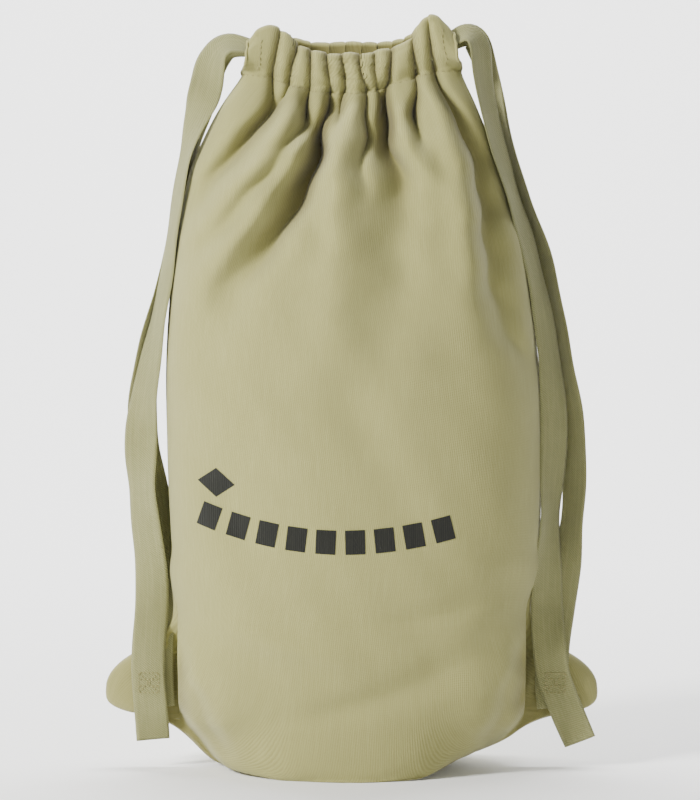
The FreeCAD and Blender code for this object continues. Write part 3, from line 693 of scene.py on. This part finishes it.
def resample(line, pitch):
    """Points at an even pitch along a line."""
    run = np.concatenate([[0], np.cumsum(np.linalg.norm(np.diff(line, axis=0), axis=1))])
    at = np.arange(0, run[-1], pitch)
    return np.stack([np.interp(at, run, line[:, k]) for k in range(3)], 1)


STITCH_PITCH, STITCH_LENGTH, THREAD_RADIUS = 0.0036, 0.0027, 0.0003


def stitches(name, line, sign, step=0.0004):
    """Stitches along a line on the front (sign -1) or the rear (1): each dips in at its ends."""
    line = resample(line, step)
    run = np.concatenate([[0], np.cumsum(np.linalg.norm(np.diff(line, axis=0), axis=1))])
    rise = np.array([-0.00015, 0.0002, 0.0003, 0.0002, -0.00015])
    parts = []
    for start in np.arange(0.0005, run[-1] - STITCH_LENGTH, STITCH_PITCH):
        at = start + STITCH_LENGTH * np.linspace(0, 1, len(rise))
        points = np.stack([np.interp(at, run, line[:, k]) for k in range(3)], 1)
        points[:, 1] += sign * rise
        parts.append(tube(points, THREAD_RADIUS))
    return many(name, parts)


# ---------------------------------------- build the bag
FACES, SIDES = (("front", -1), ("rear", 1)), (("left", -1), ("right", 1))
HALF = COLUMNS // 2
# The fold depth (metres) by height at which a fold's painted shade is full; it sets only the painted shade.
FULL_SHADE_DEPTH = [(0, 0.02), (0.36, 0.026), (0.40, 0.016), (0.415, 0.011), (0.45, 0.011)]  # full at each height
X = finer(filled_bag(), 3, True)
X = finer(X.swapaxes(0, 1), 2, False).swapaxes(0, 1)
grids = {}


def place(piece, slot, node=None, side=0):
    """A piece rides on the bag, or, for one side's piece, is left with its transform baked in; it may stand
    for a CAD node, which it hides.
    """
    if side:
        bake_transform(piece)
    else:
        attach(piece, "bag")
    if node:
        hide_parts(node)
    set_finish(piece, slot)


for word, sign in FACES:
    points, heights, body_rows, ply_rows = panel(X, sign)
    grids[word] = (points, body_rows)
    normals = rows_normals(points)
    if normals[ROWS // 2, HALF, 1] * sign < 0:
        normals = -normals
    here = points[ROWS // 2, HALF]
    across, up = points[ROWS // 2, HALF + 1] - here, points[ROWS // 2 + 1, HALF] - here
    flip = np.cross(across, up)[1] * sign < 0
    flat = np.zeros_like(points)
    flat[..., 0] = (np.linspace(0, 1, COLUMNS + 1) - 0.5) * WIDTH
    flat[..., 1] = heights[:, None]
    flat[..., 2] = 0.5 * (sign + 1)
    x, z = points[..., 0], points[..., 2]
    # Painted shade: the cloth's colour darkens in the fold valleys, beyond the front face's lower edges and
    # on the corners, where shade falls.
    painted_shade = smooth(0.12, 1.0, folds(x, z, sign > 0) / table(FULL_SHADE_DEPTH, z)[0])
    low = 0.6 * smooth(0.001, 0.006, turned_back(x, z)) + 0.28 * smooth(0.106, 0.116, np.abs(x)) * (z < 0.1)
    painted_shade = np.maximum(painted_shade, np.minimum(low, 0.6))
    # Painted shade over the channel's inner ply and the inside of the bag.
    painted_shade[ply_rows - 10 :] = 0.8
    for name, side in SIDES:
        cut = slice(0, HALF + 1) if side < 0 else slice(HALF, COLUMNS + 1)
        p, n, f = (a[:, cut].reshape(-1, 3) for a in (points, normals, flat))
        faces = grid_faces(len(points), HALF + 1, flip=flip)
        piece = mesh_object(f"{word}_{name}_canvas", p, faces, f, n, painted_shade[:, cut].ravel())
        place(piece, "canvas", f"{word}_panel", side)
    for name, side in SIDES:  # hemmed ends of the channel
        edge = points[body_rows - 1 : ply_rows, 0 if side < 0 else COLUMNS]
        place(many(f"{word}_{name}_hem", [tube(resample(edge, 0.0015), 0.0009, 8)]), "canvas", side=side)

# ---------------------------------------- stitching
SEAM_IN = 0.0075  # the seams' stitches lie this far in from the edge
for word, sign in FACES:
    points, row = grids[word]
    line = (points[row, 3:-3] + points[row - 1, 3:-3]) / 2
    place(stitches(f"{word}_channel_stitches", line, sign), "thread", f"{word}_channel_stitching")
    for name, side in SIDES:
        column = int(np.argmin(np.abs(points[row + 8, :, 0] - side * HEM_AT)))
        line = points[row + 1 : row + len(CHANNEL) - 1, column]
        run = stitches(f"{word}_{name}_end_stitches", line, sign)
        place(run, "thread", f"{word}_{name}_end_stitching", side)

points, body_rows = grids["front"]
for name, side in SIDES:
    line = points[14 : body_rows - 12, 0 if side < 0 else COLUMNS] - [side * SEAM_IN, 0, 0]
    place(stitches(f"{name}_seam_stitches", line, -1, 0.0005), "thread", f"{name}_side_seam")
line = points[0, 12:-12] + [0, 0, SEAM_IN]
place(stitches("bottom_seam_stitches", line, -1, 0.0005), "thread", "bottom_seam")

# ---------------------------------------- drawstrings
TAPE, TAPE_THICK = 20 * MM, 1.2 * MM
LEFT_ROUTE = [
    (66, 425.5), (74, 428.5), (80.5, 426), (84, 419), (86, 409), (90, 396), (97.5, 378), (106, 352),
    (115.5, 303), (122, 256), (127, 208), (124, 160), (122.5, 110), (122.5, 62), (120, 36), (119, 17),
]  # fmt: skip
RIGHT_ROUTE = [
    (63, 429.5), (68.5, 433.5), (74, 433), (77.5, 427), (79.5, 418), (82, 404), (88.5, 378), (98.5, 352),
    (115, 303), (122.5, 256), (127.5, 208), (128.5, 160), (124, 110), (122, 62), (127, 36), (135, 15),
]  # fmt: skip
REAR_POINTS = 14  # points of a route before a rear strand's end
STRAND_PITCH = 0.0018


def strand_line(name, side, route, rear, sway):
    """The strand's middle line: a spline along the route, from inside the channel to the sewn corner."""
    top, foot = route[0][1], route[REAR_POINTS - 1][1]
    points = [(28.0, 418.5), (48.0, 421.5), *route[: REAR_POINTS + 1 if rear else None]]
    placed = []
    for out, z in points:
        if rear:
            y = 10.7 - 19.2 * max(0.0, min(1.0, (top - z) / (top - foot)))
        else:
            y = -10.7 + 1.3 * float(smooth(100, 60, z))
        dx, dy = table(sway, z) if out > 60 else (0.0, 0.0)
        rise = 7.0 * float(smooth(88, 62, out) * smooth(400, 415, z) * smooth(28, 55, out))
        placed.append((side * (out + float(dx)) * MM, (y + float(dy)) * MM, (z + rise) * MM))
    curve = bpy.data.curves.new(name + "_line", "CURVE")
    curve.dimensions = "3D"
    curve.resolution_u = 12
    spline = curve.splines.new("NURBS")
    spline.points.add(len(placed) - 1)
    for point, place in zip(spline.points, placed):
        point.co = (*place, 1)
    spline.order_u = 3
    spline.use_endpoint_u = True
    holder = bpy.data.objects.new(name + "_line", curve)
    bpy.context.scene.collection.objects.link(holder)
    bpy.context.view_layer.update()
    mesh = bpy.data.meshes.new_from_object(holder.evaluated_get(bpy.context.evaluated_depsgraph_get()))
    line = np.array([v.co for v in mesh.vertices])
    bpy.data.objects.remove(holder)
    return resample(line, STRAND_PITCH)


def seen_from_front(tree, x, z):
    """The first hit of a line that runs back from in front of the bag: place, normal, index, distance."""
    return tree.ray_cast(Vector((x, -0.3, z)), Vector((0, 1, 0)))


def clear_of_corner(line, rear):
    """The strand laid on the corner of the bag where it would pass through it."""
    gap = 0.0012 if rear else 0.0042
    fronts = []
    for x, _, z in line:
        beside = [x + dx for dx in (-0.009, -0.004, 0.004, 0.009) if abs(x + dx) > 0.113]
        hits = [seen_from_front(skin_tree, at, z)[0] for at in beside]
        fronts.append(min([h.y for h in hits if h] + [0.02]) - gap)
    run = np.arange(len(line)) * STRAND_PITCH
    low = np.where(line[:, 2] < 0.12, np.array(fronts), 0.02)
    want = np.minimum(line[:, 1], (low[None, :] + 0.22 * np.abs(run[:, None] - run[None, :])).min(1))
    line = line.copy()
    line[:, 1] = averaged(want, np.hanning(21)[1:-1]) - 0.0004 * (want < line[:, 1] - 0.0005)
    return line


skin_tree = BVHTree.FromPolygons(
    [Vector(p) for p in points[:body_rows].reshape(-1, 3)],
    [tuple(int(k) for k in f) for f in grid_faces(body_rows, COLUMNS + 1)],
)


PLACES = 13  # points across one face of a tape


def ribbon(name, line, twist, cup):
    """A woven tape along a line: twist turns it out of the plane of the front, and cup hollows it."""
    along = np.gradient(line, axis=0)
    along /= np.linalg.norm(along, axis=1, keepdims=True)
    upright = np.stack([-along[:, 2], 0 * along[:, 0], along[:, 0]], 1)
    upright /= np.linalg.norm(upright, axis=1, keepdims=True)
    deep = np.cross(along, upright)
    share = np.linspace(0, 1, len(line))
    angle = np.radians(table(twist, share)[0])[:, None]
    across = np.cos(angle) * upright + np.sin(angle) * deep
    face = np.cross(along, across)
    around = np.concatenate([np.linspace(-1, 1, PLACES), np.linspace(1, -1, PLACES)])
    edge = np.sqrt(np.clip(1 - np.clip((np.abs(around) - 0.955) / 0.045, 0, 1) ** 2, 0, 1))
    layer = np.repeat([1, -1], PLACES) * (0.25 + 0.75 * edge) * TAPE_THICK / 2
    curl = table(cup, share)[0] * MM
    ripple = 0.0004 * np.sin(share * 61 + 2 * math.sin(len(line)))[:, None] * around[None, :]
    width = TAPE * (0.5 + 0.5 * smooth(0.06, 0.13, share))  # half as wide inside the channel
    bend = curl[:, None] * (around[None, :] ** 2 - 0.35) + ripple
    points = (
        line[:, None]
        + across[:, None] * (width[:, None] / 2 * around)[..., None]
        + face[:, None] * (layer + bend)[..., None]
    )
    run = np.concatenate([[0], np.cumsum(np.linalg.norm(np.diff(line, axis=0), axis=1))])
    flat = np.zeros_like(points)
    flat[..., 0] = around * TAPE / 2
    flat[..., 1] = run[:, None]
    flat[..., 2] = layer / TAPE_THICK
    n = len(around)
    faces = grid_faces(len(line), n, closed=True).tolist()
    last = (len(line) - 1) * n
    for k in range(PLACES - 1):
        faces.append((k, n - 1 - k, n - 2 - k, k + 1))
        faces.append((last + k + 1, last + n - 2 - k, last + n - 1 - k, last + k))
    return mesh_object(name, points.reshape(-1, 3), faces, flat.reshape(-1, 3))


# Sway by height (mm): outward, then backward. Twist by share of length (degrees). Cup by share (mm).
STRANDS = {
    "left_front_strand": (
        -1, LEFT_ROUTE, False,
        [(0, 0, 0), (36, 0, 0), (62, 0, 0), (80, 2, 0), (95, -3, 0), (125, -4, 0), (160, 1, 0), (208, -1, 0),
         (256, -4, 0), (303, -6, 0), (352, -4, 0), (380, -2, 0), (396, -1, 0), (425, 0, 0)],
        [(0, 0), (0.08, 36), (0.115, 44), (0.145, 16), (0.17, 6), (0.20, 40), (0.235, 60), (0.285, 68),
         (0.385, 66), (0.47, 58), (0.56, 36), (0.62, 12), (0.68, 34), (0.73, 28), (0.80, 6), (0.85, -6),
         (0.95, 3), (1, -12)],
        [(0, 0.6), (0.2, 1.0), (0.4, -1.2), (0.6, 0.8), (0.8, -0.8), (1, 0.5)],
    ),
    "left_rear_strand": (
        -1, LEFT_ROUTE, True,
        [(36, -4, 0), (62, -5, 0), (85, -5, 0), (105, -7, 3), (125, -9, 7), (150, -9, 8), (175, -5, 6),
         (208, 1, 2), (256, -1, 0), (303, -6, 0), (352, -9, 0), (380, -4, 0), (404, 0, 0), (425, 0, 0)],
        [(0, 0), (0.09, -30), (0.14, -30), (0.18, -44), (0.26, -74), (0.36, -78), (0.48, -60), (0.60, -35),
         (0.72, -40), (0.80, -8), (0.9, 0), (1, 0)],
        [(0, 0.4), (0.3, -0.8), (0.6, 1.0), (1, 0.3)],
    ),
    "right_front_strand": (
        1, RIGHT_ROUTE, False,
        [(0, 2, 0), (36, 1, 0), (50, -3, 0), (68, -4, 0), (85, -2, 0), (110, -8, 0), (160, -10, 0),
         (208, -6, 0), (256, -5, 0), (303, -7, 0), (352, -6, 0), (380, -4, 0), (404, -3.5, 0), (418, -3, 0),
         (428, -1, 0)],
        [(0, 0), (0.08, -38), (0.13, -50), (0.16, -56), (0.20, -56), (0.28, -64), (0.36, -60), (0.46, -52),
         (0.55, -40), (0.62, -30), (0.70, -52), (0.80, -22), (0.88, 6), (0.95, -4), (1, 14)],
        [(0, 0.6), (0.25, 0.9), (0.5, -1.1), (0.75, 0.9), (1, -0.4)],
    ),
    "right_rear_strand": (
        1, RIGHT_ROUTE, True,
        [(36, -6, 0), (62, -4, 0), (85, -2, 0), (110, 2, 0), (160, 5, 0), (208, 5, 0), (256, 3, 0),
         (303, 1, 0), (352, -1, 0), (380, 3, 0), (404, 3, 0), (425, 0, 0)],
        [(0, 0), (0.08, 30), (0.14, 46), (0.20, 60), (0.28, 62), (0.40, 58), (0.52, 66), (0.66, 48),
         (0.76, 50), (0.84, 10), (0.9, 0), (1, 0)],
        [(0, 0.4), (0.3, 0.8), (0.6, -1.0), (1, 0.3)],
    ),
}  # fmt: skip
strands = {}
for name, (side, route, rear, sway, twist, cup) in STRANDS.items():
    line = clear_of_corner(strand_line(name, side, route, rear, sway), rear)
    if rear:  # behind the front strand where both lie on the corner
        ahead = strands[name.replace("rear", "front")][1]
        ahead = ahead[-150:][np.argsort(ahead[-150:, 2])]
        behind = np.interp(line[:, 2], ahead[:, 2], ahead[:, 1]) + 0.0022
        line[:, 1] += np.maximum(behind - line[:, 1], 0) * smooth(0.17, 0.12, line[:, 2])
    piece = ribbon(name, line, twist, cup)
    word = "left" if side < 0 else "right"
    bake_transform(piece)
    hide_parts(f"{word}_drawstring")
    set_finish(piece, "tape")
    strands[name] = (piece, line)

# ---------------------------------------- bartacks
TACK_HEIGHT, TACK_HALF = 0.052, 0.006


def bartack(word):
    """A boxed cross of stitches that lie on the front strand of a side."""
    piece, line = strands[f"{word}_front_strand"]
    tree = BVHTree.FromPolygons(
        [v.co.copy() for v in piece.data.vertices], [tuple(p.vertices) for p in piece.data.polygons]
    )

    def on_tape(x, z):
        hit = seen_from_front(tree, x, z)[0]
        return hit.y if hit else line[np.argmin(np.abs(line[:, 2] - z)), 1] - TAPE_THICK

    middle = float(line[np.argmin(np.abs(line[:, 2] - TACK_HEIGHT)), 0])
    bars = [((-1, k), (1, k)) for k in (-1, -1 / 3, 1 / 3, 1)]
    bars += [((-1, -1), (-1, 1)), ((1, -1), (1, 1)), ((-1, -1), (1, 1)), ((-1, 1), (1, -1))]
    parts = []
    for ends in bars:
        (x0, z0), (x1, z1) = ((middle + a * TACK_HALF, TACK_HEIGHT + b * TACK_HALF) for a, b in ends)
        count = max(2, round(math.hypot(x1 - x0, z1 - z0) / 0.0022))
        for step in range(count):
            t = (step + np.linspace(0.08, 0.92, 4)) / count
            xs, zs = x0 + (x1 - x0) * t, z0 + (z1 - z0) * t
            ys = [on_tape(a, b) for a, b in zip(xs, zs)] + np.array([0.0002, -0.0003, -0.0003, 0.0002])
            parts.append(tube(np.stack([xs, ys, zs], 1), 0.00032))
    return many(f"{word}_bartack", parts)


for word, side in SIDES:
    place(bartack(word), "thread", f"{word}_corner_bartack")

# ---------------------------------------- print
INK_ROWS, INK_COLUMNS, INK_LIFT = 15, 13, 0.00025
BAR_WIDTH, BAR_HEIGHT, BAR_PITCH = 11.5 * MM, 14 * MM, 17 * MM
LOZENGE = [(-90, 176.5), (-79, 184), (-68, 174.5), (-79, 167)]  # mm, from the left corner round


def printed(places):
    """A film of ink on the front, at a grid of places."""
    rows = []
    for x, z in places:
        hit, normal, _, _ = seen_from_front(skin_tree, x, z)
        rows.append(hit + normal * (-INK_LIFT if normal.y > 0 else INK_LIFT))
    return np.array(rows), grid_faces(INK_ROWS, INK_COLUMNS).tolist()


parts = []
for number in range(-4, 5):
    share = number / 4
    centre = Vector((-0.015 + BAR_PITCH * number, (142.5 + 10 * share * share - 3.2 * share) * MM))
    tilt = 0.147 * 2 * share - 0.047
    along, up = Vector((math.cos(tilt), math.sin(tilt))), Vector((-math.sin(tilt), math.cos(tilt)))
    parts.append(printed([
        centre + along * (a * BAR_WIDTH) + up * (b * BAR_HEIGHT)
        for b in np.linspace(-0.5, 0.5, INK_ROWS) for a in np.linspace(-0.5, 0.5, INK_COLUMNS)
    ]))  # fmt: skip
left, top, right, foot = np.array(LOZENGE) * MM
parts.append(printed([
    (left * (1 - s) + top * s) * (1 - t) + (foot * (1 - s) + right * s) * t
    for s in np.linspace(0, 1, INK_ROWS) for t in np.linspace(0, 1, INK_COLUMNS)
]))  # fmt: skip
place(many("print_bars", parts), "ink", "front_print")

# ---------------------------------------- materials
def nodes_of(name, roughness):
    """A new material, a function that adds a node, one that joins sockets, and its main shader."""
    material = bpy.data.materials.new(name)
    material.use_nodes = True
    tree = material.node_tree
    shader = tree.nodes["Principled BSDF"]
    shader.inputs["Roughness"].default_value = roughness
    shader.inputs["Specular IOR Level"].default_value = 0.18

    def add(kind, **inputs):
        node = tree.nodes.new(kind)
        for key, value in inputs.items():
            if hasattr(node, key) and not key[0].isupper():
                setattr(node, key, value)
            else:
                node.inputs[key.replace("_", " ")].default_value = value
        return node

    return material, add, tree.links.new, shader


WAVE = 0.3142  # a wave texture of this scale has bands one unit apart


def woven(name, colours, pitch, angle, relief, painted_shade_colour=None):
    """Twill: fine slanting ribs, cotton fuzz and faint uneven dye, over the cloth's own flat coordinates.

    colours run from deep to light, and the last argument, if given, is the colour of painted shade in the
    folds and hollows."""
    material, add, join, shader = nodes_of(name, 0.92)
    place = add("ShaderNodeAttribute", attribute_name="flat")
    turn = add("ShaderNodeMapping")
    turn.inputs["Rotation"].default_value = (0, 0, angle)
    turn.inputs["Scale"].default_value = (1, 1, 0)
    join(place.outputs["Vector"], turn.inputs["Vector"])
    ribs = add("ShaderNodeTexWave", Scale=WAVE / pitch, Distortion=1.6, Detail=2.0)
    ribs.inputs["Detail Scale"].default_value = 3.0
    join(turn.outputs["Vector"], ribs.inputs["Vector"])
    picks = add("ShaderNodeTexWave", Scale=WAVE / (pitch * 0.8), Distortion=1.2, Detail=1.0)
    picks.bands_direction = "Y"
    join(turn.outputs["Vector"], picks.inputs["Vector"])
    grain = add("ShaderNodeTexNoise", Scale=1500.0, Detail=3.0, Roughness=0.6)
    join(place.outputs["Vector"], grain.inputs["Vector"])
    cloud = add("ShaderNodeTexNoise", Scale=14.0, Detail=4.0, Roughness=0.6)
    join(place.outputs["Vector"], cloud.inputs["Vector"])
    slub = add("ShaderNodeTexNoise", Scale=1.0, Detail=2.0)
    stretch = add("ShaderNodeMapping")
    stretch.inputs["Scale"].default_value = (900, 45, 1)
    join(place.outputs["Vector"], stretch.inputs["Vector"])
    join(stretch.outputs["Vector"], slub.inputs["Vector"])

    def mixed(a, b, share):
        mix = add("ShaderNodeMix", data_type="RGBA")
        for socket, value in ((mix.inputs[6], a), (mix.inputs[7], b), (mix.inputs[0], share)):
            if hasattr(value, "links"):
                join(value, socket)
            else:
                socket.default_value = value
        return mix.outputs[2]

    def shaped(value, low, high, to_low=0.0, to_high=1.0):
        node = add("ShaderNodeMapRange")
        for k, number in enumerate((low, high, to_low, to_high)):
            node.inputs[k + 1].default_value = number
        join(value, node.inputs[0])
        return node.outputs[0]

    deep, base, light = (tuple(c) + (1,) for c in colours)
    colour = mixed(deep, base, shaped(ribs.outputs["Fac"], 0.05, 0.75))
    colour = mixed(colour, light, shaped(slub.outputs["Fac"], 0.45, 0.85, 0.0, 0.6))
    colour = mixed(colour, deep, shaped(cloud.outputs["Fac"], 0.45, 0.85, 0.0, 0.35))
    # Painted shade: the colour darkens towards a dark brown where the point attribute marks folds and
    # hollows.
    if painted_shade_colour:
        painted_shade = add("ShaderNodeAttribute", attribute_name="painted_shade")
        colour = mixed(colour, (*painted_shade_colour, 1), shaped(painted_shade.outputs["Fac"], 0.0, 1.0, 0.0, 0.72))
    join(colour, shader.inputs["Base Color"])
    height = add("ShaderNodeMath", operation="MULTIPLY_ADD")
    join(picks.outputs["Fac"], height.inputs[0])
    height.inputs[1].default_value = 0.35
    join(ribs.outputs["Fac"], height.inputs[2])
    fuzz = add("ShaderNodeMath", operation="MULTIPLY_ADD")
    join(grain.outputs["Fac"], fuzz.inputs[0])
    fuzz.inputs[1].default_value = 0.8
    join(height.outputs[0], fuzz.inputs[2])
    bump = add("ShaderNodeBump", Strength=relief, Distance=0.0004)
    join(fuzz.outputs[0], bump.inputs["Height"])
    join(bump.outputs["Normal"], shader.inputs["Normal"])
    shader.inputs["Sheen Weight"].default_value = 0.15
    shader.inputs["Sheen Roughness"].default_value = 0.6
    return material


MATERIALS = {
    # The canvas's dark brown is painted shade for its folds, turned-back edges, corners and inside.
    "canvas": woven(
        "canvas_twill", [(0.25, 0.237, 0.084), (0.30, 0.288, 0.108), (0.345, 0.33, 0.132)],
        pitch=0.0012, angle=0.16, relief=0.28, painted_shade_colour=(0.085, 0.066, 0.014),
    ),
    "tape": woven(
        "tape_twill", [(0.18, 0.178, 0.07), (0.26, 0.258, 0.112), (0.32, 0.315, 0.145)],
        pitch=0.0011, angle=0.9, relief=0.6,
    ),
    "thread": woven(
        "sewing_thread", [(0.20, 0.18, 0.065), (0.29, 0.268, 0.105), (0.34, 0.32, 0.135)],
        pitch=0.0006, angle=0.5, relief=0.3,
    ),
    "ink": woven(
        "screen_ink", [(0.006, 0.0065, 0.0045), (0.011, 0.0115, 0.008), (0.017, 0.0175, 0.012)],
        pitch=0.0012, angle=0.16, relief=0.3,
    ),
}  # fmt: skip
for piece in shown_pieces():
    if piece.type == "MESH" and piece.get("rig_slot") in MATERIALS and "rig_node" not in piece:
        piece.data.materials.clear()
        piece.data.materials.append(MATERIALS[piece["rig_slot"]])

# ---------------------------------------- studio
world = bpy.data.worlds.new("studio")
bpy.context.scene.world = world
world.use_nodes = True
world.node_tree.nodes["Background"].inputs["Color"].default_value = (1.0, 1.0, 1.0, 1)
world.node_tree.nodes["Background"].inputs["Strength"].default_value = 0.2


def lamp(name, where, size, power, tint=(1, 1, 1), target=(0, 0, 0.22)):
    data = bpy.data.lights.new(name, "AREA")
    data.shape = "RECTANGLE"
    data.size, data.size_y = size
    data.energy = power
    data.color = tint
    made = bpy.data.objects.new(name, data)
    bpy.context.scene.collection.objects.link(made)
    made.location = where
    made.rotation_euler = (Vector(target) - Vector(where)).to_track_quat("-Z", "Y").to_euler()


lamp("key", (-1.6, -1.25, 1.25), (0.45, 0.6), 100, (1.0, 0.99, 0.96))
lamp("fill", (0.3, -1.9, 0.5), (0.9, 0.9), 5)
lamp("wall", (0.0, 0.75, 2.4), (2.5, 0.4), 170, target=(0, 2.4, 0.4))
floor_mesh = bpy.data.meshes.new("floor")
BEND = 1.2  # the floor turns up into the wall with this radius, and as far behind the bag
profile = [(-6.0, 0.0)]
profile += [(BEND + BEND * math.sin(a), BEND - BEND * math.cos(a)) for a in np.linspace(0, math.pi / 2, 25)]
profile += [(2 * BEND, 5.0)]
sweep = [(x, y, z) for y, z in profile for x in (-7.0, 7.0)]
floor_mesh.from_pydata(sweep, [], [(2 * k, 2 * k + 1, 2 * k + 3, 2 * k + 2) for k in range(len(profile) - 1)])
floor_mesh.polygons.foreach_set("use_smooth", np.ones(len(floor_mesh.polygons), bool))
floor = bpy.data.objects.new("floor", floor_mesh)
bpy.context.scene.collection.objects.link(floor)
pale, _, _, shader = nodes_of("pale_floor", 0.9)
shader.inputs["Base Color"].default_value = (0.92, 0.92, 0.92, 1)
shader.inputs["Emission Color"].default_value = (1, 1, 1, 1)
shader.inputs["Emission Strength"].default_value = 0.04
floor_mesh.materials.append(pale)
